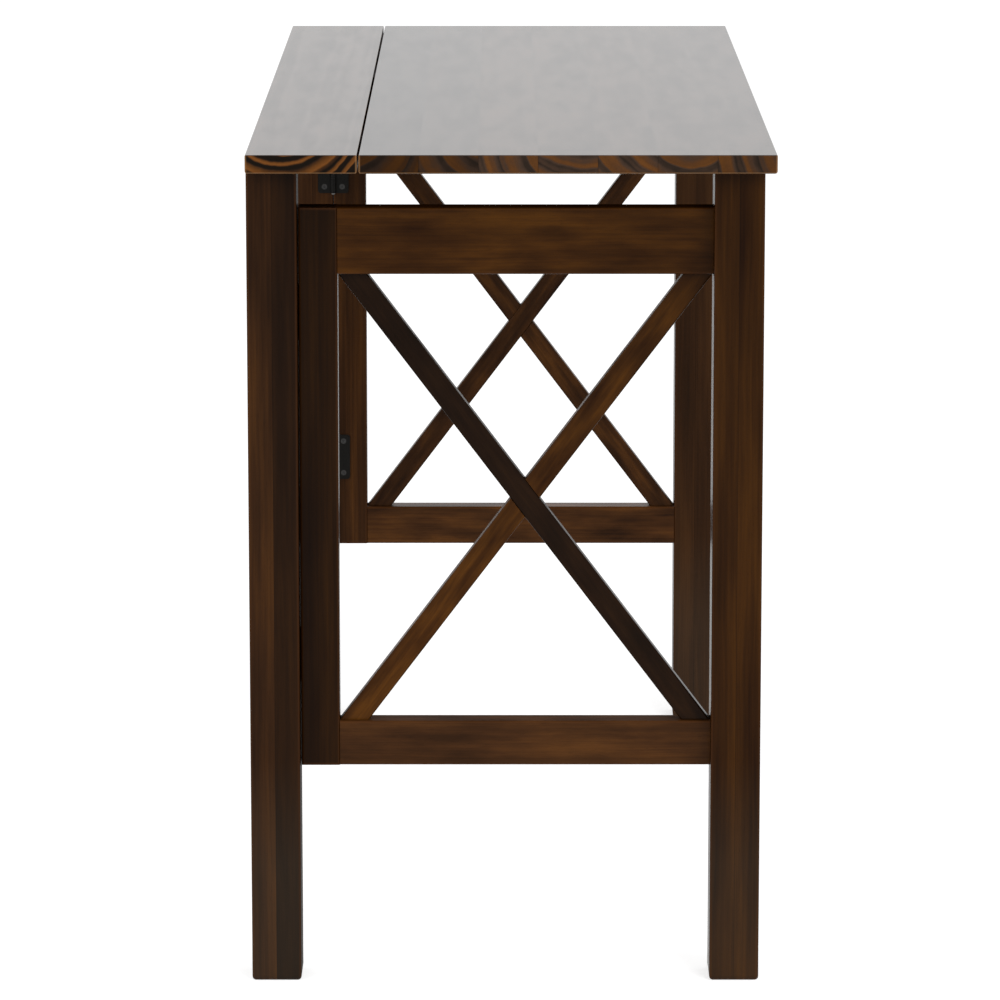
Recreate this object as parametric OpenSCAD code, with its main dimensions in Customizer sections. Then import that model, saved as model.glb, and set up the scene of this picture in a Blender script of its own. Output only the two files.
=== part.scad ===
// A folding desk in dark stained solid wood. A rear frame carries the fixed strip of the top.
// Two side frames are hinged to the rear legs and swing in against the rear frame. The panel of
// the top is hinged to the strip along the seam, and rests on the front legs.
// X runs along the desk, the front faces -Y and Z is up from the floor.

/* [Top] */
// Length of the strip and the panel
top_l = 1067; // [960:1:1300]
// Thickness of the strip and the panel
top_t = 17; // [14:0.5:24]
// Height of the top's upper face above the floor
top_h = 762; // [740:1:820]
// Depth of the fixed strip
strip_d = 99.3; // [90:0.1:130]
// Depth of the hinged panel
panel_d = 371.2; // [350:0.1:400]
// Gap between the strip and the panel
seam_gap = 1.5; // [1.2:0.1:3]
// Rounding of the lower edges of the strip and the panel
top_edge_r = 3; // [1:0.5:5]
// Rounding of the upper edges and the corners of the strip and the panel
top_arris_r = 1.2; // [0.5:0.1:2]
// Reach of the top past the side frames at each end
end_overhang = 14.5; // [10:0.5:40]
// Reach of the panel past the front legs
front_overhang = 10; // [0:1:25]

/* [Legs and stiles] */
// Width and depth of a leg
leg_w = 45; // [40:1:55]
// Rounding of a leg at the floor
foot_r = 5; // [3:0.5:8]
// Rounding of the long edges of legs, stiles and rails
arris_r = 2; // [0.5:0.5:4]
// Width of a stile
stile_w = 35; // [30:1:45]
// Gap between a rear leg and the stile beside it
frame_gap = 0.6; // [0.5:0.1:3]
// Gap between a front leg and the panel that rests on it
rest_gap = 0.3; // [0.2:0.1:1]

/* [Rails] */
// Thickness of the stiles and the side frames' rails, whose inner faces are flush with the legs
rail_t = 25; // [20:1:30]
// Thickness of the rear apron and the rear stretcher
rear_rail_t = 18; // [16:1:22]
// Distance from the rear legs' rear faces in to the rear apron and the rear stretcher
rear_setback = 1; // [0:0.5:4]
// Underside of the low rails above the floor
low_rail_z = 198; // [150:1:240]
// Height of the low rails
low_rail_h = 41; // [36:1:60]
// Height of the top rails of the side frames
top_rail_h = 60; // [45:1:75]
// Distance from the top's underside down to the top rails of the side frames
top_rail_drop = 35; // [20:1:40]
// Height of the rear apron
apron_h = 94; // [60:1:100]

/* [Braces] */
// Width of a brace
brace_w = 21; // [16:1:30]
// Thickness of a brace
brace_t = 14; // [12:1:18]
// Rounding of the long edges of a brace
brace_r = 1.5; // [0.5:0.5:2.5]

/* [Tenons and dowels] */
// Thickness of a tenon
tenon_t = 10; // [8:1:12]
// Length of a tenon
tenon_l = 22; // [15:1:26]
// Step from the edge of a rail to its tenon
tenon_step = 8; // [5:1:12]
// Room for glue on each side of a tenon, dowel or half lap
glue_gap = 0.1; // [0.05:0.05:0.3]
// Room for glue at the end of a tenon or dowel
end_gap = 1; // [0.5:0.5:2]
// Diameter of the dowels under the strip
strip_dowel_d = 8; // [6:1:10]
// Length of the strip's dowels in the rear frame
strip_dowel_low = 25; // [15:1:35]
// Length of the strip's dowels in the strip
strip_dowel_high = 10; // [6:1:12]
// Distance from the rear legs' inner faces to the outer apron dowels
apron_dowel_inset = 162.5; // [60:0.5:250]
// Diameter of the dowels at the ends of the braces
brace_dowel_d = 6; // [5:0.5:8]
// Length of a brace dowel in the brace, and again in the rail
brace_dowel_l = 14; // [8:1:20]

/* [Hinges] */
// Length of a hinge along its pin
hinge_l = 49; // [40:1:60]
// Width of a hinge leaf from the pin's middle
leaf_w = 16.5; // [16:0.5:20]
// Rounding of the outer corners of a leaf
leaf_r = 3; // [1:0.5:5]
// Thickness of a hinge leaf
leaf_t = 1.5; // [1.2:0.1:1.6]
// Outer radius of a knuckle
knuckle_r = 2.75; // [2.6:0.05:3.5]
// Gap between a knuckle and the wood
knuckle_lift = 0.25; // [0.2:0.05:0.5]
// Gap between one knuckle and the next
knuckle_gap = 0.2; // [0.1:0.05:0.5]
// Gap between a knuckle and the notch in the other leaf
notch_gap = 0.4; // [0.2:0.1:1]
// Radius of a hinge pin
pin_r = 1.25; // [1:0.05:1.4]
// Running clearance of a pin in its knuckles
pin_fit = 0.05; // [0.03:0.01:0.08]
// Radius of a pin's head
pin_head_r = 2.1; // [1.8:0.1:2.5]
// Thickness of a pin's head
pin_head_t = 0.8; // [0.5:0.1:1.5]
// Height of the lower side hinges' middles above the underside of the low rails
hinge_rise = 97; // [75:1:150]
// Distance from the top's underside down to the upper side hinges' middles
hinge_drop = 134; // [125:1:200]
// Distance from the ends of the top to the outer seam hinges' middles
seam_hinge_inset = 153.5; // [120:0.5:200]

/* [Hinge screws] */
// Distance of a screw from the pin's middle
screw_y = 9.6; // [9:0.1:12]
// Distance of a screw from the end of the leaf
screw_inset = 6.9; // [5:0.1:10]
// Radius of a screw's shank
screw_r = 1.5; // [1.2:0.1:1.8]
// Radius of a screw's head
screw_head_r = 3; // [2.5:0.1:3.4]
// Length of a screw with its head
screw_l = 14; // [10:1:15]
// Length of a screw's point
screw_tip_l = 3; // [2:0.5:4]
// Clearance of a screw in its hole
screw_fit = 0.05; // [0.03:0.01:0.1]
// Width of the cross in a screw's head
cross_w = 0.7; // [0.5:0.1:0.9]
// Length of the cross in a screw's head
cross_l = 3.4; // [3:0.1:4]
// Depth of the cross in a screw's head
cross_depth = 0.9; // [0.6:0.1:1.2]

/* [Hidden] */

// Outline of the desk
depth = strip_d + seam_gap + panel_d;
rear_y = depth / 2;
front_y = -depth / 2;
under_z = top_h - top_t;
outer_x = top_l / 2 - end_overhang;
inner_x = outer_x - leg_w;
seam_y = rear_y - strip_d - seam_gap / 2;

// Side frame, given for the left end and mirrored for the right one. Its rails and its stile
// are as thick as each other, and their inner faces are flush with the legs'.
stile_rear_y = rear_y - leg_w - frame_gap;
stile_front_y = stile_rear_y - stile_w;
leg_front_y = front_y + front_overhang;
leg_back_y = leg_front_y + leg_w;
rail_l = stile_front_y - leg_back_y;
rail_x = -inner_x - rail_t;
rail_mid_x = rail_x + rail_t / 2;
frame_top_z = under_z - top_rail_drop;
top_rail_z = frame_top_z - top_rail_h;
opening_z = low_rail_z + low_rail_h;
opening_h = top_rail_z - opening_z;

// Braces, whose outer edges run from corner to corner of the side frame's opening
brace_mid_y = (stile_front_y + leg_back_y) / 2;
brace_mid_z = opening_z + opening_h / 2;
brace_rise = atan2(opening_h, rail_l) + asin(brace_w / norm([rail_l, opening_h]));
brace_lean = 90 - brace_rise;
brace_half_l = opening_h / 2 / cos(brace_lean);

// Rear frame
apron_z = under_z - apron_h;
rear_mid_y = rear_y - leg_w / 2;
rear_rail_y = rear_y - rear_setback - rear_rail_t;
rear_rail_mid_y = rear_rail_y + rear_rail_t / 2;

// Hinges
pin_lift = knuckle_r + knuckle_lift;
side_pin_x = -inner_x + pin_lift;
side_pin_y = rear_y - leg_w - frame_gap / 2;
seam_pin_z = under_z - pin_lift;
knuckle_l = (hinge_l - 2 * knuckle_gap) / 3;
hinge_low_z = low_rail_z + hinge_rise;
hinge_high_z = under_z - hinge_drop;
seam_hinge_x = top_l / 2 - seam_hinge_inset;

// Colours and the fineness of round shapes
wood = "#3c2414";
wood_light = "#4b2d17";
dowel_wood = "#b08b5a";
black_steel = "#1d1c1c";
pin_steel = "#77736c";
$fn = 48;

// A rectangle with rounded corners
module rounded(w, h, r) {
    translate([r, 0]) square([w - 2 * r, h]);
    translate([0, r]) square([w, h - 2 * r]);
    for (x = [r, w - r])
        for (y = [r, h - r])
            translate([x, y]) circle(r);
}

// Bars along X, Y and Z with their long edges rounded
module bar_x(size, r) {
    rotate([90, 0, 90]) linear_extrude(size.x) rounded(size.y, size.z, r);
}

module bar_y(size, r) {
    translate([0, 0, size.z]) rotate([-90, 0, 0]) linear_extrude(size.y) rounded(size.x, size.z, r);
}

module bar_z(size, r) {
    linear_extrude(size.z) rounded(size.x, size.y, r);
}

// The outline of a board's end, with a small rounding above and a larger one below
module board_end(w, h) {
    low = top_edge_r;
    high = top_arris_r;
    translate([low, 0]) square([w - 2 * low, h - high]);
    translate([0, low]) square([w, h - low - high]);
    translate([high, h - 2 * high]) square([w - 2 * high, 2 * high]);
    for (x = [low, w - low])
        translate([x, low]) circle(low);
    for (x = [high, w - high])
        translate([x, h - high]) circle(high);
}

// A board rounded on all its edges
module board(size) {
    intersection() {
        rotate([90, 0, 90]) linear_extrude(size.x) board_end(size.y, size.z);
        translate([0, size.y, 0])
            rotate([90, 0, 0]) linear_extrude(size.y) board_end(size.x, size.z);
        bar_z(size, top_arris_r);
    }
}

// A square leg, rounded along its edges and more so at the floor
module leg(h) {
    tall = h + foot_r;
    intersection() {
        bar_z([leg_w, leg_w, h], arris_r);
        bar_x([leg_w, leg_w, tall], foot_r);
        bar_y([leg_w, leg_w, tall], foot_r);
    }
}

// The left end as it stands, or mirrored to the right end
module end(side) {
    if (side == "left")
        children();
    else
        mirror([1, 0, 0]) children();
}

// The core of a side rail, whose ends are its tenons. The gaps turn it into mortises.
module side_core(z, h, gap = 0, past = 0) {
    translate([rail_mid_x - tenon_t / 2 - gap, leg_back_y - tenon_l - past, z + tenon_step - gap])
        cube([tenon_t + 2 * gap, rail_l + 2 * (tenon_l + past), h - 2 * (tenon_step - gap)]);
}

// The core of a rail between the rear legs
module rear_core(z, h, gap = 0, past = 0) {
    translate([-inner_x - tenon_l - past, rear_rail_mid_y - tenon_t / 2 - gap, z + tenon_step - gap])
        cube([2 * (inner_x + tenon_l + past), tenon_t + 2 * gap, h - 2 * (tenon_step - gap)]);
}

module dowel(d, low, high, gap = 0, past = 0) {
    translate([0, 0, -low - past]) cylinder(h = low + high + 2 * past, d = d + 2 * gap);
}

// The dowels that hold the strip on the rear legs and the apron
module strip_dowel_set(gap = 0, past = 0) {
    leg_x = outer_x - leg_w / 2;
    apron_dowel_x = inner_x - apron_dowel_inset;
    for (x = [-leg_x, leg_x])
        translate([x, rear_mid_y, under_z])
            dowel(strip_dowel_d, strip_dowel_low, strip_dowel_high, gap, past);
    for (x = [-apron_dowel_x, 0, apron_dowel_x])
        translate([x, rear_rail_mid_y, under_z])
            dowel(strip_dowel_d, strip_dowel_low, strip_dowel_high, gap, past);
}

// A place on the axis of a brace. A lean of 1 goes from low at the front to high at the rear.
module on_brace(lean) {
    translate([rail_mid_x, brace_mid_y, brace_mid_z])
        rotate([-lean * brace_lean, 0, 0])
            children();
}

module brace_dowel_set(gap = 0, past = 0) {
    for (lean = [-1, 1])
        for (turn = [0, 180])
            on_brace(lean)
                rotate([turn, 0, 0])
                    translate([0, 0, brace_half_l])
                        dowel(brace_dowel_d, brace_dowel_l, brace_dowel_l, gap, past);
}

// The room that one brace takes from the other on the outer or inner half of its thickness
module lap_cut(lean, half) {
    reach = 2 * brace_w;
    on_brace(lean)
        translate([half == "outer" ? -brace_t : 0, -brace_w / 2 - glue_gap, -reach])
            cube([brace_t, brace_w + 2 * glue_gap, 2 * reach]);
}

module brace(lean, cut_half) {
    difference() {
        intersection() {
            on_brace(lean)
                translate([-brace_t / 2, -brace_w / 2, -2 * brace_half_l])
                    bar_z([brace_t, brace_w, 4 * brace_half_l], brace_r);
            translate([rail_x, leg_back_y, opening_z]) cube([rail_t, rail_l, opening_h]);
        }
        lap_cut(-lean, cut_half);
        brace_dowel_set(glue_gap, end_gap);
    }
}

// A countersunk screw with its head's face at z = 0 and its point down in +z
module screw() {
    difference() {
        union() {
            cylinder(h = leaf_t, r1 = screw_head_r, r2 = screw_r);
            cylinder(h = screw_l - screw_tip_l, r = screw_r);
            translate([0, 0, screw_l - screw_tip_l])
                cylinder(h = screw_tip_l, r1 = screw_r, r2 = screw_r / 4);
        }
        for (turn = [0, 90])
            rotate(turn)
                translate([-cross_l / 2, -cross_w / 2, -cross_depth])
                    cube([cross_l, cross_w, 2 * cross_depth]);
    }
}

module screw_hole() {
    translate([0, 0, -leaf_t]) cylinder(h = leaf_t, r = screw_head_r + screw_fit);
    cylinder(h = leaf_t, r1 = screw_head_r + screw_fit, r2 = screw_r + screw_fit);
    cylinder(h = screw_l + end_gap, r = screw_r + screw_fit);
}

// The places of a leaf's screws. The pin is on the Z axis and the wood lies at x = -pin_lift.
module at_leaf_screws(hand) {
    for (z = [-1, 1])
        translate([leaf_t - pin_lift, hand * screw_y, z * (hinge_l / 2 - screw_inset)])
            rotate([0, -90, 0])
                children();
}

module knuckle(z) {
    translate([0, 0, z]) cylinder(h = knuckle_l, r = knuckle_r);
}

// The outline of a leaf from its inner edge out to its rounded corners
module leaf_outline(inner_edge) {
    translate([inner_edge, 0]) square([leaf_w - leaf_r - inner_edge, hinge_l]);
    translate([inner_edge, leaf_r]) square([leaf_w - inner_edge, hinge_l - 2 * leaf_r]);
    for (z = [leaf_r, hinge_l - leaf_r])
        translate([leaf_w - leaf_r, z]) circle(leaf_r);
}

module leaf_plate(inner_edge) {
    translate([-pin_lift, 0, -hinge_l / 2])
        rotate([90, 0, 90]) linear_extrude(leaf_t) leaf_outline(inner_edge);
}

// The leaf with the two outer knuckles, on the +Y side of the pin
module outer_leaf() {
    notch_l = knuckle_l + 2 * knuckle_gap;
    difference() {
        union() {
            leaf_plate(0);
            knuckle(-hinge_l / 2);
            knuckle(hinge_l / 2 - knuckle_l);
        }
        translate([-2 * pin_lift, -knuckle_r, -notch_l / 2])
            cube([3 * pin_lift, 2 * knuckle_r + notch_gap, notch_l]);
        translate([0, 0, -hinge_l]) cylinder(h = 2 * hinge_l, r = pin_r + pin_fit);
        at_leaf_screws(1) screw_hole();
    }
}

// The leaf with the middle knuckle, on the -Y side of the pin
module middle_leaf() {
    difference() {
        union() {
            mirror([0, 1, 0]) leaf_plate(knuckle_r + notch_gap);
            translate([-pin_lift, -leaf_w / 2, -knuckle_l / 2]) cube([leaf_t, leaf_w / 2, knuckle_l]);
            knuckle(-knuckle_l / 2);
        }
        translate([0, 0, -hinge_l]) cylinder(h = 2 * hinge_l, r = pin_r + pin_fit);
        at_leaf_screws(-1) screw_hole();
    }
}

module hinge_pin() {
    translate([0, 0, -hinge_l / 2]) cylinder(h = hinge_l, r = pin_r);
    translate([0, 0, hinge_l / 2]) cylinder(h = pin_head_t, r = pin_head_r);
    translate([0, 0, -hinge_l / 2 - pin_head_t]) cylinder(h = pin_head_t, r = pin_head_r);
}

// Places of the hinges. Side hinges are given for the left end.
module at_side_hinge(z) {
    translate([side_pin_x, side_pin_y, z]) children();
}

module at_side_hinges() {
    for (z = [hinge_low_z, hinge_high_z])
        at_side_hinge(z) children();
}

module at_seam_hinge(x) {
    translate([x, seam_y, seam_pin_z]) rotate([0, 90, 0]) children();
}

module at_seam_hinges() {
    for (x = [-seam_hinge_x, 0, seam_hinge_x])
        at_seam_hinge(x) children();
}

// Rear frame and strip
module rear_leg(side) {
    color(wood) end(side) difference() {
        translate([-outer_x, rear_y - leg_w, 0]) leg(under_z);
        rear_core(low_rail_z, low_rail_h, glue_gap, end_gap);
        rear_core(apron_z, apron_h, glue_gap, end_gap);
        strip_dowel_set(glue_gap, end_gap);
        at_side_hinges() at_leaf_screws(1) screw_hole();
    }
}

module rear_apron() {
    color(wood) difference() {
        union() {
            translate([-inner_x, rear_rail_y, apron_z])
                bar_x([2 * inner_x, rear_rail_t, apron_h], arris_r);
            rear_core(apron_z, apron_h);
        }
        strip_dowel_set(glue_gap, end_gap);
    }
}

module rear_stretcher() {
    color(wood) union() {
        translate([-inner_x, rear_rail_y, low_rail_z])
            bar_x([2 * inner_x, rear_rail_t, low_rail_h], arris_r);
        rear_core(low_rail_z, low_rail_h);
    }
}

module top_strip() {
    color(wood_light) difference() {
        translate([-top_l / 2, rear_y - strip_d, under_z]) board([top_l, strip_d, top_t]);
        strip_dowel_set(glue_gap, end_gap);
        at_seam_hinges() at_leaf_screws(1) screw_hole();
    }
}

module strip_dowels() {
    color(dowel_wood) strip_dowel_set();
}

// Hinges and their screws on the rear frame and the strip
module leg_leaf(side, z) {
    color(black_steel) end(side) at_side_hinge(z) outer_leaf();
}

module side_pin(side, z) {
    color(pin_steel) end(side) at_side_hinge(z) hinge_pin();
}

module leg_leaf_screws() {
    color(black_steel)
        for (side = ["left", "right"])
            end(side) at_side_hinges() at_leaf_screws(1) screw();
}

module strip_leaf(x) {
    color(black_steel) at_seam_hinge(x) outer_leaf();
}

module seam_pin(x) {
    color(pin_steel) at_seam_hinge(x) hinge_pin();
}

module strip_leaf_screws() {
    color(black_steel) at_seam_hinges() at_leaf_screws(1) screw();
}

// Side frames
module stile(side) {
    color(wood) end(side) difference() {
        translate([rail_x, stile_front_y, low_rail_z])
            bar_z([rail_t, stile_w, frame_top_z - low_rail_z], arris_r);
        side_core(low_rail_z, low_rail_h, glue_gap, end_gap);
        side_core(top_rail_z, top_rail_h, glue_gap, end_gap);
        at_side_hinges() at_leaf_screws(-1) screw_hole();
    }
}

module front_leg(side) {
    color(wood) end(side) difference() {
        translate([-outer_x, leg_front_y, 0]) leg(under_z - rest_gap);
        side_core(low_rail_z, low_rail_h, glue_gap, end_gap);
        side_core(top_rail_z, top_rail_h, glue_gap, end_gap);
    }
}

module side_rail(side, z, h) {
    color(wood) end(side) difference() {
        union() {
            translate([rail_x, leg_back_y, z]) bar_y([rail_t, rail_l, h], arris_r);
            side_core(z, h);
        }
        brace_dowel_set(glue_gap, end_gap);
    }
}

module brace_through(side) {
    color(wood) end(side) brace(1, "inner");
}

module brace_lapped(side) {
    color(wood_light) end(side) brace(-1, "outer");
}

module brace_dowels(side) {
    color(dowel_wood) end(side) brace_dowel_set();
}

module stile_leaf(side, z) {
    color(black_steel) end(side) at_side_hinge(z) middle_leaf();
}

module stile_leaf_screws(side) {
    color(black_steel) end(side) at_side_hinges() at_leaf_screws(-1) screw();
}

// Panel
module top_panel() {
    color(wood_light) difference() {
        translate([-top_l / 2, front_y, under_z]) board([top_l, panel_d, top_t]);
        at_seam_hinges() at_leaf_screws(-1) screw_hole();
    }
}

module panel_leaf(x) {
    color(black_steel) at_seam_hinge(x) middle_leaf();
}

module panel_leaf_screws() {
    color(black_steel) at_seam_hinges() at_leaf_screws(-1) screw();
}

rear_leg("left");  // rear_leg_left
rear_leg("right");  // rear_leg_right
rear_apron();
rear_stretcher();
top_strip();
strip_dowels();
leg_leaf("left", hinge_low_z);  // leg_leaf_left_low
leg_leaf("left", hinge_high_z);  // leg_leaf_left_high
leg_leaf("right", hinge_low_z);  // leg_leaf_right_low
leg_leaf("right", hinge_high_z);  // leg_leaf_right_high
side_pin("left", hinge_low_z);  // side_pin_left_low
side_pin("left", hinge_high_z);  // side_pin_left_high
side_pin("right", hinge_low_z);  // side_pin_right_low
side_pin("right", hinge_high_z);  // side_pin_right_high
leg_leaf_screws();
strip_leaf(-seam_hinge_x);  // strip_leaf_left
strip_leaf(0);  // strip_leaf_middle
strip_leaf(seam_hinge_x);  // strip_leaf_right
seam_pin(-seam_hinge_x);  // seam_pin_left
seam_pin(0);  // seam_pin_middle
seam_pin(seam_hinge_x);  // seam_pin_right
strip_leaf_screws();
stile("left");  // left_stile
front_leg("left");  // left_front_leg
side_rail("left", top_rail_z, top_rail_h);  // left_top_rail
side_rail("left", low_rail_z, low_rail_h);  // left_low_rail
brace_through("left");  // left_brace_through
brace_lapped("left");  // left_brace_lapped
brace_dowels("left");  // left_brace_dowels
stile_leaf("left", hinge_low_z);  // left_stile_leaf_low
stile_leaf("left", hinge_high_z);  // left_stile_leaf_high
stile_leaf_screws("left");  // left_stile_leaf_screws
stile("right");  // right_stile
front_leg("right");  // right_front_leg
side_rail("right", top_rail_z, top_rail_h);  // right_top_rail
side_rail("right", low_rail_z, low_rail_h);  // right_low_rail
brace_through("right");  // right_brace_through
brace_lapped("right");  // right_brace_lapped
brace_dowels("right");  // right_brace_dowels
stile_leaf("right", hinge_low_z);  // right_stile_leaf_low
stile_leaf("right", hinge_high_z);  // right_stile_leaf_high
stile_leaf_screws("right");  // right_stile_leaf_screws
top_panel();
panel_leaf(-seam_hinge_x);  // panel_leaf_left
panel_leaf(0);  // panel_leaf_middle
panel_leaf(seam_hinge_x);  // panel_leaf_right
panel_leaf_screws();
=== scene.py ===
import math

import bpy
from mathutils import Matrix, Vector


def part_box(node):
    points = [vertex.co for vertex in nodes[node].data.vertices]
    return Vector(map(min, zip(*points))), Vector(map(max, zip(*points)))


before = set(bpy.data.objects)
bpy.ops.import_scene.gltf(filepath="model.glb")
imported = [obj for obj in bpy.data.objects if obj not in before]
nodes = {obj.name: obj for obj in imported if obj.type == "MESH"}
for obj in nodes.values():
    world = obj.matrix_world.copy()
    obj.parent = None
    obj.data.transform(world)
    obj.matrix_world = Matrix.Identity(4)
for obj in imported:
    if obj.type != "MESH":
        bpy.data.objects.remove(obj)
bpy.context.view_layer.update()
print("desk loaded:", len(nodes), "parts")

bpy.ops.object.select_all(action="DESELECT")
mm = 0.001

# Camera: the end view, from a little above the writing surface
camera = {
    "place": (-5.0046, 0.0099, 1.3584),
    "tiltDown": 10.123,  # degrees below level
    "heading": -90,  # degrees, so that it looks along the desk
    "lens": 183.46,
    "sensor": 36,
    "shift": -0.12,
    "farthest": 80,  # metres
}
cameraData = bpy.data.cameras.new("endView")
cameraData.sensor_width = camera["sensor"]
cameraData.lens = camera["lens"]
cameraData.shift_y = camera["shift"]
cameraData.clip_end = camera["farthest"]
endView = bpy.data.objects.new("endView", cameraData)
endView.location = camera["place"]
endView.rotation_euler = (
    math.radians(90 - camera["tiltDown"]), 0, math.radians(camera["heading"]))
bpy.context.scene.collection.objects.link(endView)
bpy.context.scene.camera = endView
print("camera placed")


# A written sRGB colour as linear red, green, blue and alpha
def colour(hexText):
    channels = [int(hexText[i : i + 2], 16) / 255 for i in (1, 3, 5)]
    return [c / 12.92 if c <= 0.04045 else ((c + 0.055) / 1.055) ** 2.4 for c in channels] + [1]


# Adds a node, whose sockets are named or numbered. A Map Range takes the limits that it reads
# in 1 and 2 and the values that it gives in 3 and 4, or a vector's in 7 to 10. A Mix takes
# numbers in 2 and 3 and colours in 6 and 7.
def add(tree, kind, links=None, **settings):
    node = tree.nodes.new(kind)
    for name, value in settings.items():
        setattr(node, name, value)
    for socket, value in (links or {}).items():
        if isinstance(value, bpy.types.NodeSocket):
            tree.links.new(value, node.inputs[socket])
        else:
            node.inputs[socket].default_value = value
    return node


def emptyMaterial(name):
    material = bpy.data.materials.new(name)
    material.use_nodes = True
    material.node_tree.nodes.clear()
    return material, material.node_tree


def setRamp(node, stops):
    ramp = node.color_ramp
    for i, (place, hexText) in enumerate(stops):
        stop = ramp.elements[i] if i < 2 else ramp.elements.new(place)
        stop.position = place
        stop.color = colour(hexText)
    return node


def dress(node, material):
    for slot in nodes[node].material_slots:
        slot.material = material


# Turns that lay the grain of a piece along X
braceRise = math.radians(54.4)
grainX = (0, 0, 0)
grainY = (0, 0, -math.pi / 2)
grainZ = (0, math.pi / 2, 0)
grainUpToRear = (-braceRise, 0, -math.pi / 2)
grainUpToFront = (braceRise, 0, -math.pi / 2)

noiseSpan = (0.3, 0.7)  # nearly all of a noise texture lies between these

# What all the pine shares. Lengths are in mm, first along the grain, then across it.
pine = {
    "wander": (260, 40),  # the trunk's slow bends
    "fibre": (70, 1.2),
    "pore": (7, 0.35),
    "plank": 900,  # how far along its plank a stave may be cut
    "taper": 0.015,  # how slowly the rings drift along the grain
    "bandRough": 0.55,
    "rings": ((0, "#000000"), (0.7, "#ffffff"), (1, "#000000")),  # from early to late wood
    "poreEdge": (0.62, 0.72),  # only the noise's peaks are pores
    "poreTone": 0.75,
    "glueLine": (0.1, 0.5),  # half widths of its dark core and of the whole line
    "glueTone": 0.6,
    "endOn": (0.6, 0.85),  # how squarely a face cuts the grain to count as an end
    "jointOn": (0.6, 0.9),  # how squarely a face looks the joint's way
    "softWood": (0.35, 0.6),  # where the pattern goes from soft to hard wood
    "fullyWornAndLit": 0.6,  # how close to both faces the stain is worn through
    "relief": 0.05,  # how close to both faces an edge is fully paled, by worn stain and painted light
    "rough": 0.6,  # the bare wood under the lacquer
}


# Scale that makes a pattern's features this long and wide
def stretch(size):
    length, width = size
    return (1000 / length, 1000 / width, 1000 / width)


# Staves glued side by side. Each comes from its own plank, so its rings have their own pith.
def glueStaves(tree, turned, across, look):
    stave = look["stave"] * mm
    start = look["staveStart"] * mm
    count = add(tree, "ShaderNodeMath", {0: across, 1: 1 / stave, 2: -start / stave},
                operation="MULTIPLY_ADD")
    number = add(tree, "ShaderNodeMath", {0: count.outputs[0]}, operation="FLOOR")
    middle = add(tree, "ShaderNodeMath", {0: number.outputs[0], 1: stave,
                 2: start + stave / 2 + look["pith"][0] * mm}, operation="MULTIPLY_ADD")
    home = add(tree, "ShaderNodeCombineXYZ", {1: middle.outputs[0], 2: look["pith"][1] * mm})
    seeded = add(tree, "ShaderNodeMath", {0: number.outputs[0], 1: look["seed"]}, operation="ADD")
    chance = add(tree, "ShaderNodeTexWhiteNoise", {"W": seeded.outputs[0]}, noise_dimensions="1D")
    spread = [v * mm for v in (pine["plank"], *look["pithSpread"])]
    pith = add(tree, "ShaderNodeVectorMath", {0: chance.outputs["Color"], 1: spread,
               2: home.outputs[0]}, operation="MULTIPLY_ADD")
    local = add(tree, "ShaderNodeVectorMath", {0: turned, 1: pith.outputs[0]},
                operation="SUBTRACT")
    return count.outputs[0], chance.outputs["Value"], local.outputs[0]


# The trunk's slow bends, the yearly rings and the uneven bands across several of them
def growRings(tree, local, look):
    slow = add(tree, "ShaderNodeVectorMath", {0: local, 1: stretch(pine["wander"])},
               operation="MULTIPLY")
    wander = add(tree, "ShaderNodeTexNoise", {"Vector": slow.outputs[0], "Scale": 1, "Detail": 4})
    bend = look["bend"] * mm
    bent = add(tree, "ShaderNodeVectorMath", {0: wander.outputs["Color"], 1: (0, bend, bend),
               2: local}, operation="MULTIPLY_ADD")
    flat = add(tree, "ShaderNodeVectorMath", {0: bent.outputs[0], 1: (pine["taper"], 1, 1)},
               operation="MULTIPLY")
    radius = add(tree, "ShaderNodeVectorMath", {0: flat.outputs[0]}, operation="LENGTH")
    bandPlace = add(tree, "ShaderNodeMath", {0: radius.outputs["Value"],
                    1: 1 / (look["band"] * mm)}, operation="MULTIPLY")
    bands = add(tree, "ShaderNodeTexNoise", {"W": bandPlace.outputs[0], "Scale": 1,
                "Roughness": pine["bandRough"]}, noise_dimensions="1D")
    uneven = add(tree, "ShaderNodeMath", {0: bands.outputs[0], 1: look["uneven"]},
                 operation="MULTIPLY")
    ringPlace = add(tree, "ShaderNodeMath", {0: radius.outputs["Value"],
                    1: 1 / (look["ring"] * mm), 2: uneven.outputs[0]}, operation="MULTIPLY_ADD")
    ring = add(tree, "ShaderNodeMath", {0: ringPlace.outputs[0]}, operation="FRACT")
    rings = setRamp(add(tree, "ShaderNodeValToRGB", {0: ring.outputs[0]}), pine["rings"])
    return bent.outputs[0], bands.outputs[0], rings.outputs[0]
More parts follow.
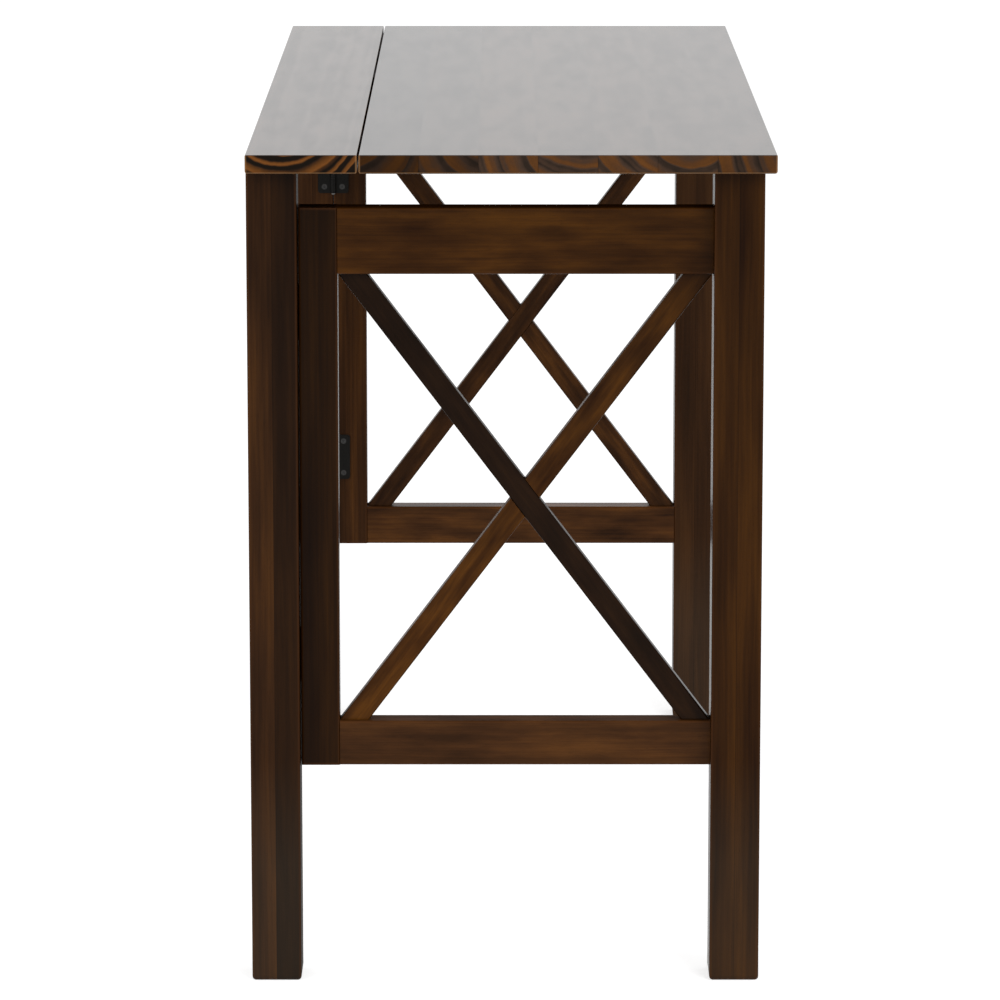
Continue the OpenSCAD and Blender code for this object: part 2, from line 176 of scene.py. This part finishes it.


# Paler colour where two faces meet, for stain worn thin and, on a top's lower edges, for painted
# light as well. A top's upper edges keep their stain.
def wearAndLightEdges(tree, centred, halfSize, look):
    upper = add(tree, "ShaderNodeVectorMath", {0: centred, 1: (1, 1, look["upperWearAndLight"])},
                operation="MULTIPLY")
    lower = add(tree, "ShaderNodeVectorMath", {0: centred, "Scale": -1}, operation="SCALE")
    offside = add(tree, "ShaderNodeVectorMath", {0: upper.outputs[0], 1: lower.outputs[0]},
                  operation="MAXIMUM")
    inset = add(tree, "ShaderNodeVectorMath", {0: halfSize, 1: offside.outputs[0]},
                operation="SUBTRACT")
    edge = look["edge"] * mm
    nearFace = add(tree, "ShaderNodeMapRange", {"Vector": inset.outputs[0],
                   8: (edge, edge, edge), 9: (1, 1, 1), 10: (0, 0, 0)}, data_type="FLOAT_VECTOR")
    nearParts = add(tree, "ShaderNodeSeparateXYZ", {0: nearFace.outputs["Vector"]})
    upright = add(tree, "ShaderNodeMath", {0: nearParts.outputs[1], 1: look["uprightWearAndLight"]},
                  operation="MULTIPLY")
    nextFace = add(tree, "ShaderNodeCombineXYZ", {0: upright.outputs[0],
                   1: nearParts.outputs[2], 2: nearParts.outputs[0]})
    rim = add(tree, "ShaderNodeVectorMath", {0: nearFace.outputs["Vector"],
              1: nextFace.outputs[0]}, operation="DOT_PRODUCT")
    wornAndLit = add(tree, "ShaderNodeMapRange", {0: rim.outputs["Value"], 2: pine["fullyWornAndLit"],
               4: look["wearAndLight"]})
    return wornAndLit.outputs[0]


# The lacquer sinks into the ends and a little into soft wood, and a joint's face has less
def brushLacquer(tree, normal, isEnd, hardness, look):
    joint = add(tree, "ShaderNodeVectorMath", {0: normal, 1: look["jointFace"]},
                operation="DOT_PRODUCT")
    laid = add(tree, "ShaderNodeMapRange", {0: joint.outputs["Value"], 1: pine["jointOn"][0],
               2: pine["jointOn"][1], 3: look["coat"], 4: look["coat"] * look["jointCoat"]})
    notEnd = add(tree, "ShaderNodeMath", {0: 1, 1: isEnd}, operation="SUBTRACT")
    onLong = add(tree, "ShaderNodeMath", {0: laid.outputs[0], 1: notEnd.outputs[0]},
                 operation="MULTIPLY")
    sunk = add(tree, "ShaderNodeMapRange", {0: hardness, 1: pine["softWood"][0],
               2: pine["softWood"][1], 3: 1 - look["sunk"]})
    lacquer = add(tree, "ShaderNodeMath", {0: onLong.outputs[0], 1: sunk.outputs[0]},
                  operation="MULTIPLY")
    return lacquer.outputs[0]


# Solid pine under a walnut stain and a thin lacquer. The yearly rings lie round a pith line
# beside the board, so a long face shows soft streaks and arches, and an end, which drinks
# more stain, shows bold dark arcs. The stain is thinner on the rounded edges, which are paler,
# and a top's lower edges are also painted light. A tone along each piece paints shade.
def stainedPine(node, look):
    material, tree = emptyMaterial(f"stainedPine_{node}")
    low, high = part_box(node)
    reach = (high - low).length / 2
    place = add(tree, "ShaderNodeTexCoord")
    centred = add(tree, "ShaderNodeVectorMath", {0: place.outputs["Object"],
                  1: (low + high) / 2}, operation="SUBTRACT")
    turned = add(tree, "ShaderNodeMapping", {"Vector": centred.outputs[0],
                 "Rotation": look["turn"]})
    parts = add(tree, "ShaderNodeSeparateXYZ", {0: turned.outputs[0]})
    along, across = parts.outputs[0], parts.outputs[1]
    count, chance, local = glueStaves(tree, turned.outputs[0], across, look)
    bent, bands, rings = growRings(tree, local, look)

    # Clouds of deeper stain, fibres and pores
    streaks = {}
    for name, size, detail in (
        ("clouds", look["cloud"], 3),
        ("fibre", pine["fibre"], 3),
        ("pore", pine["pore"], 1),
    ):
        scaled = add(tree, "ShaderNodeVectorMath", {0: bent, 1: stretch(size)},
                     operation="MULTIPLY")
        noise = add(tree, "ShaderNodeTexNoise", {"Vector": scaled.outputs[0], "Scale": 1,
                    "Detail": detail})
        streaks[name] = noise.outputs[0]

    # Colour of the long faces, then of the ends
    longPlace = add(tree, "ShaderNodeMix", {0: look["ringShare"], 2: streaks["clouds"], 3: rings})
    longRamp = setRamp(add(tree, "ShaderNodeValToRGB", {0: longPlace.outputs[0]}), look["long"])
    endPlace = add(tree, "ShaderNodeMix", {0: look["endShare"], 2: streaks["clouds"], 3: rings})
    endRamp = setRamp(add(tree, "ShaderNodeValToRGB", {0: endPlace.outputs[0]}), look["end"])
    normal = add(tree, "ShaderNodeMapping", {"Vector": place.outputs["Normal"],
                 "Rotation": look["turn"]}, vector_type="NORMAL")
    normalParts = add(tree, "ShaderNodeSeparateXYZ", {0: normal.outputs[0]})
    endOn = add(tree, "ShaderNodeMath", {0: normalParts.outputs[0]}, operation="ABSOLUTE")
    isEnd = add(tree, "ShaderNodeMapRange", {0: endOn.outputs[0], 1: pine["endOn"][0],
                2: pine["endOn"][1]})
    stained = add(tree, "ShaderNodeMix", {0: isEnd.outputs[0], 6: longRamp.outputs[0],
                  7: endRamp.outputs[0]}, data_type="RGBA")

    # Tones that darken or lighten the stain, and one that paints shade along the piece: each one's
    # value, its limits and what they give
    half = add(tree, "ShaderNodeMath", {0: across, 1: 0}, operation="GREATER_THAN")
    toLine = add(tree, "ShaderNodeMath", {0: count, 1: 0.5}, operation="PINGPONG")  # in staves
    glueLine = [width / look["stave"] for width in pine["glueLine"]]
    tones = {}
    for name, value, limits, given in (
        ("half", half.outputs[0], (0, 1), look["halves"]),
        ("stave", chance, (0, 1), look["staves"]),
        ("band", bands, noiseSpan, (1 - look["bands"], 1 + look["bands"])),
        ("fibre", streaks["fibre"], noiseSpan, (1 - look["fibre"], 1 + look["fibre"])),
        ("pore", streaks["pore"], pine["poreEdge"], (1, pine["poreTone"])),
        ("glue", toLine.outputs[0], glueLine, (pine["glueTone"], 1)),
        # painted shade: darker towards one end of a piece, such as an upright's top under the desk
        # top
        ("shadeFade", along, (-reach, reach), look["shadeFade"]),
    ):
        mapped = add(tree, "ShaderNodeMapRange", {0: value, 1: limits[0], 2: limits[1],
                     3: given[0], 4: given[1]})
        tones[name] = mapped.outputs[0]
    tone = tones["half"]
    for name in ("stave", "band", "fibre", "pore", "glue", "shadeFade"):
        product = add(tree, "ShaderNodeMath", {0: tone, 1: tones[name]}, operation="MULTIPLY")
        tone = product.outputs[0]
    toned = add(tree, "ShaderNodeVectorMath", {0: stained.outputs[2], "Scale": tone},
                operation="SCALE")

    # A film of dust low on a leg adds a little pale grey
    film = look["dust"]
    settled = add(tree, "ShaderNodeMapRange", {0: along, 1: film["full"] * mm - reach,
                  2: film["none"] * mm - reach, 3: film["level"], 4: 0})
    dusted = add(tree, "ShaderNodeVectorMath", {0: settled.outputs[0],
                 1: colour(film["colour"])[:3], 2: toned.outputs[0]}, operation="MULTIPLY_ADD")
    # Paler rounded edges: worn stain, and on a top's lower edges also painted light
    wornAndLit = wearAndLightEdges(tree, centred.outputs[0], (high - low) / 2, look)
    finished = add(tree, "ShaderNodeMix", {0: wornAndLit, 6: dusted.outputs[0],
                   7: colour(look["wornAndLitColour"])}, data_type="RGBA")

    # Open pores and soft early wood lie a few hundredths of a millimetre low
    height = add(tree, "ShaderNodeMath", {0: tones["fibre"], 1: tones["pore"]}, operation="ADD")
    bump = add(tree, "ShaderNodeBump", {"Height": height.outputs[0], "Strength": look["bump"],
               "Distance": pine["relief"] * mm})
    lacquer = brushLacquer(tree, place.outputs["Normal"], isEnd.outputs[0],
                           longPlace.outputs[0], look)
    shader = add(tree, "ShaderNodeBsdfPrincipled", {
        "Base Color": finished.outputs[2], "Roughness": pine["rough"], "Specular IOR Level": 0,
        "Normal": bump.outputs[0], "Coat Weight": lacquer, "Coat Roughness": look["coatRough"],
        "Coat IOR": look["coatIor"], "Coat Normal": bump.outputs[0]})
    add(tree, "ShaderNodeOutputMaterial", {0: shader.outputs[0]})
    dress(node, material)


# How the stain took on the long faces, from its dark streaks to its light ones
stain = {
    "usual": ((0.24, "#1e1007"), (0.5, "#3a220f"), (0.76, "#563415")),
    "warm": ((0.24, "#220f03"), (0.5, "#3a2007"), (0.76, "#52300b")),
    "even": ((0.24, "#251509"), (0.5, "#3a220f"), (0.76, "#4e2f14")),
    "calm": ((0.24, "#2a1a0e"), (0.5, "#3a2311"), (0.76, "#4a2e16")),
    "top": ((0.28, "#26170c"), (0.5, "#342010"), (0.72, "#432a16")),
}

# Frame: legs, stiles, rails and braces under one thin satin coat. Lengths are in mm.
frameLook = {
    "turn": grainZ,
    "stave": 10000,  # wider than any piece, so this is one plank
    "staveStart": -5000,
    "pith": (25, 30),  # how far beside and above the stave's middle the pith lies
    "pithSpread": (30, 40),
    "bend": 8,
    "band": 12,
    "ring": 5,
    "uneven": 1,
    "ringShare": 0.06,
    "endShare": 0.6,
    "cloud": (260, 20),
    "long": stain["usual"],
    "end": ((0.25, "#14100d"), (0.5, "#3f2614"), (0.75, "#70441f")),
    "halves": (1, 1),  # tones of an upright's front and rear half, a rail's right and left
    "shadeFade": (1, 1),  # painted shade: tones from an upright's foot to its top, and from front to rear otherwise
    "staves": (1, 1),  # darkest and lightest stave
    "bands": 0.07,
    "fibre": 0.12,
    "dust": {"level": 0, "full": 110, "none": 210, "colour": "#181916"},  # heights over the foot
    "edge": 2.4,  # how far in from an edge the stain is worn and the edge painted lighter
    "wearAndLight": 0.3,
    "upperWearAndLight": 1,
    "uprightWearAndLight": 1,
    "wornAndLitColour": "#5a3418",
    "bump": 0.2,
    "coat": 0.8,
    "sunk": 0.1,
    "coatRough": 0.25,
    "coatIor": 1.16,
    "jointFace": (0, 0, 0),  # the way that a face with less lacquer looks
    "jointCoat": 0.3,
}
legLook = {**frameLook, "stave": 22.5, "staveStart": 0, "dust": {**frameLook["dust"], "level": 1}}
stileLook = {**frameLook, "jointFace": (0, 1, 0)}
railLook = {**frameLook, "turn": grainY, "cloud": (80, 18), "jointFace": (0, 0, 1), "jointCoat": 0}
braceLook = {**frameLook, "cloud": (60, 14), "wearAndLight": 0}
# Each piece's tone from end to end is painted shade, darker where the desk top or a leg would
# shade it
framePieces = {
    "rear_leg_left": {**legLook, "seed": 11, "jointFace": (0, -1, 0), "halves": (0.32, 0.79),
                      "shadeFade": (1.2, 1.12)},
    "rear_leg_right": {**legLook, "seed": 17, "jointFace": (0, -1, 0), "halves": (1.2, 1.3)},
    "left_front_leg": {**legLook, "seed": 51, "halves": (0.82, 0.8), "shadeFade": (1.18, 0.92),
                       "long": stain["warm"]},
    "right_front_leg": {**legLook, "seed": 57, "halves": (0.88, 0.88), "bands": 0.04,
                        "long": stain["calm"]},
    "left_stile": {**stileLook, "seed": 91, "halves": (0.38, 0.44), "shadeFade": (1.25, 0.78),
                   "long": stain["warm"]},
    "right_stile": {**stileLook, "seed": 97, "halves": (0.84, 0.84), "shadeFade": (1.5, 0.8)},
    "left_top_rail": {**railLook, "seed": 131, "halves": (1.06, 1.1), "shadeFade": (0.78, 1.02),
                      "long": stain["warm"]},
    "right_top_rail": {**railLook, "seed": 137},
    "left_low_rail": {**railLook, "seed": 171, "halves": (1.3, 1.3), "jointCoat": 0.25,
                      "long": stain["even"]},
    "right_low_rail": {**railLook, "seed": 177, "halves": (1.66, 1.66), "jointCoat": 1},
    "rear_apron": {**frameLook, "seed": 61, "turn": grainX},
    "rear_stretcher": {**frameLook, "seed": 62, "turn": grainX},
    "left_brace_through": {**braceLook, "seed": 72, "turn": grainUpToRear,
                           "halves": (0.34, 0.34), "shadeFade": (1.1, 0.75), "long": stain["calm"]},
    "left_brace_lapped": {**braceLook, "seed": 70, "turn": grainUpToFront,
                          "halves": (1.3, 1.3), "shadeFade": (0.62, 1.25), "long": stain["warm"]},
    "right_brace_through": {**braceLook, "seed": 77, "turn": grainUpToRear,
                            "halves": (1.09, 1.09)},
    "right_brace_lapped": {**braceLook, "seed": 75, "turn": grainUpToFront,
                           "halves": (1.05, 1.05)},
}
for node, look in framePieces.items():
    stainedPine(node, look)
print("frame dressed")

# Top: seven staves in the panel and one plank in the strip, under a gloss coat
panelDepth = 371.2
panelStaves = 7
topLook = {
    **frameLook,
    "turn": grainX,
    "bend": 9,
    "cloud": (110, 20),
    "long": stain["top"],
    "fibre": 0.06,
    # Pale tan lower edges: worn stain, and painted light where they face down
    "edge": 1.8,
    "wearAndLight": 0.9,
    "upperWearAndLight": 0,
    "uprightWearAndLight": 0.5,
    "wornAndLitColour": "#b08357",
    "coat": 0.93,
    "coatRough": 0.15,
    "coatIor": 1.5,
}
topPieces = {
    "top_panel": {
        **topLook,
        "seed": 309,
        "stave": panelDepth / panelStaves,
        "staveStart": -panelDepth / 2,
        "pith": (-70, 25),
        "pithSpread": (140, 60),
        "ring": 19,
        "staves": (0.42, 1.12),
        "endShare": 0.5,
        "end": ((0.25, "#2f2620"), (0.45, "#44342a"), (0.65, "#573820"), (0.85, "#66401f")),
        "jointFace": (0, 1, 0),
        "bump": 0.03,
        "sunk": 0.035,
    },
    "top_strip": {
        **topLook,
        "seed": 31,
        "pith": (20, 54),
        "pithSpread": (0, 0),
        "ring": 9,
        "uneven": 1.5,
        "ringShare": 0.14,
        "endShare": 0.75,
        "end": ((0.3, "#1c1713"), (0.46, "#2e2018"), (0.6, "#57361b"), (0.85, "#744722")),
        "jointFace": (0, -1, 0),
        "bump": 0.1,
        "sunk": 0.05,
    },
}
for node, look in topPieces.items():
    stainedPine(node, look)
print("top dressed")


# Turned beech dowel, left bare: pale, dry and fine grained
def bareBeech(look):
    material, tree = emptyMaterial("bareBeech")
    place = add(tree, "ShaderNodeTexCoord")
    scaled = add(tree, "ShaderNodeVectorMath", {0: place.outputs["Object"], 1: look["fibres"]},
                 operation="MULTIPLY")
    grain = add(tree, "ShaderNodeTexNoise", {"Vector": scaled.outputs[0], "Scale": 1, "Detail": 3})
    ramp = setRamp(add(tree, "ShaderNodeValToRGB", {0: grain.outputs[0]}), look["tones"])
    shader = add(tree, "ShaderNodeBsdfPrincipled", {"Base Color": ramp.outputs[0],
                 "Roughness": look["rough"], "IOR": look["ior"]})
    add(tree, "ShaderNodeOutputMaterial", {0: shader.outputs[0]})
    return material


# Steel with a fine skin: black enamel has a faint orange peel, a drawn pin a duller grain
def steelSkin(name, look):
    material, tree = emptyMaterial(name)
    place = add(tree, "ShaderNodeTexCoord")
    peel = add(tree, "ShaderNodeTexNoise", {"Vector": place.outputs["Object"],
               "Scale": 1000 / look["grain"]})
    ramp = setRamp(add(tree, "ShaderNodeValToRGB", {0: peel.outputs[0]}), look["tones"])
    rough = add(tree, "ShaderNodeMapRange", {0: peel.outputs[0], 1: noiseSpan[0],
                2: noiseSpan[1], 3: look["rough"][0], 4: look["rough"][1]})
    bump = add(tree, "ShaderNodeBump", {"Height": peel.outputs[0], "Strength": look["bump"],
               "Distance": look["relief"] * mm})
    shader = add(tree, "ShaderNodeBsdfPrincipled", {"Base Color": ramp.outputs[0],
                 "Metallic": look["metallic"], "Roughness": rough.outputs[0],
                 "IOR": look["ior"], "Normal": bump.outputs[0]})
    add(tree, "ShaderNodeOutputMaterial", {0: shader.outputs[0]})
    return material


beech = {  # fibres 1.4 mm wide and 17 mm long, as repeats in a metre
    "fibres": (700, 700, 60),
    "tones": ((0.3, "#b08a5c"), (0.7, "#d0ae80")),
    "rough": 0.6,
    "ior": 1.4,
}
skin = {"bump": 0.2, "relief": 0.03, "metallic": 0}
enamel = {**skin, "grain": 1.2, "tones": ((0.3, "#0c0b09"), (0.7, "#171512")),
          "rough": (0.39, 0.53), "ior": 1.2}
screw = {**skin, "grain": 0.6, "tones": ((0.3, "#252423"), (0.7, "#383634")),
         "rough": (0.34, 0.48), "ior": 1.4}
pin = {**skin, "grain": 0.8, "tones": ((0.3, "#6d6c6a"), (0.7, "#8b8986")),
       "rough": (0.29, 0.43), "ior": 1.5, "metallic": 1}
dowelWood = bareBeech(beech)
blackEnamel = steelSkin("blackEnamel", enamel)
blackScrew = steelSkin("blackScrew", screw)
drawnSteel = steelSkin("drawnSteel", pin)
for node in nodes:
    if "dowels" in node:
        dress(node, dowelWood)
    elif "_screws" in node:
        dress(node, blackScrew)
    elif "_leaf_" in node:
        dress(node, blackEnamel)
    elif "_pin_" in node:
        dress(node, drawnSteel)
print("hinges dressed")

# Stage: a white floor that keeps the soft shadow, and white all round
studio = {
    "floorSize": 30,
    "paper": "#e4e4e4",
    "floorLift": 0.6,
    "ambient": 0.62,
    "lampSize": 2.4,
    "lampAim": (0, 0, 0.4),
    "lamps": {  # place and watts
        "keyLamp": ((-3.2, -2.2, 3.4), 75),
        "fillLamp": ((-3.0, 3.0, 2.6), 45),
    },
}
white = (1, 1, 1, 1)


# 1 where the camera, a reflection or a clear part looks at the stage, otherwise 0
def seenDirectly(tree):
    path = add(tree, "ShaderNodeLightPath")
    seen = add(tree, "ShaderNodeMath", {0: path.outputs["Is Camera Ray"],
               1: path.outputs["Is Glossy Ray"]}, operation="MAXIMUM")
    return add(tree, "ShaderNodeMath", {0: seen.outputs[0],
               1: path.outputs["Is Transmission Ray"]}, operation="MAXIMUM")


bpy.ops.mesh.primitive_plane_add(size=studio["floorSize"], location=(0, 0, 0))
floor = bpy.context.object
floor.name = "studioFloor"
paperSweep, tree = emptyMaterial("paperSweep")
lift = add(tree, "ShaderNodeMath", {0: seenDirectly(tree).outputs[0], 1: studio["floorLift"]},
           operation="MULTIPLY")
paper = add(tree, "ShaderNodeBsdfDiffuse", {0: colour(studio["paper"])})
glow = add(tree, "ShaderNodeEmission", {0: white, 1: lift.outputs[0]})
both = add(tree, "ShaderNodeAddShader", {0: paper.outputs[0], 1: glow.outputs[0]})
add(tree, "ShaderNodeOutputMaterial", {0: both.outputs[0]})
floor.data.materials.append(paperSweep)

whiteStudio = bpy.data.worlds.new("whiteStudio")
whiteStudio.use_nodes = True
tree = whiteStudio.node_tree
tree.nodes.clear()
level = add(tree, "ShaderNodeMapRange", {0: seenDirectly(tree).outputs[0], 3: studio["ambient"]})
sky = add(tree, "ShaderNodeBackground", {0: white, 1: level.outputs[0]})
add(tree, "ShaderNodeOutputWorld", {0: sky.outputs[0]})
bpy.context.scene.world = whiteStudio

for name, (place, watts) in studio["lamps"].items():
    lampData = bpy.data.lights.new(name, "AREA")
    lampData.size = studio["lampSize"]
    lampData.energy = watts
    lamp = bpy.data.objects.new(name, lampData)
    lamp.location = place
    aim = Vector(studio["lampAim"]) - Vector(place)
    lamp.rotation_euler = aim.to_track_quat("-Z", "Y").to_euler()
    bpy.context.scene.collection.objects.link(lamp)
bpy.context.scene.view_settings.view_transform = "Standard"
print("stage lit")
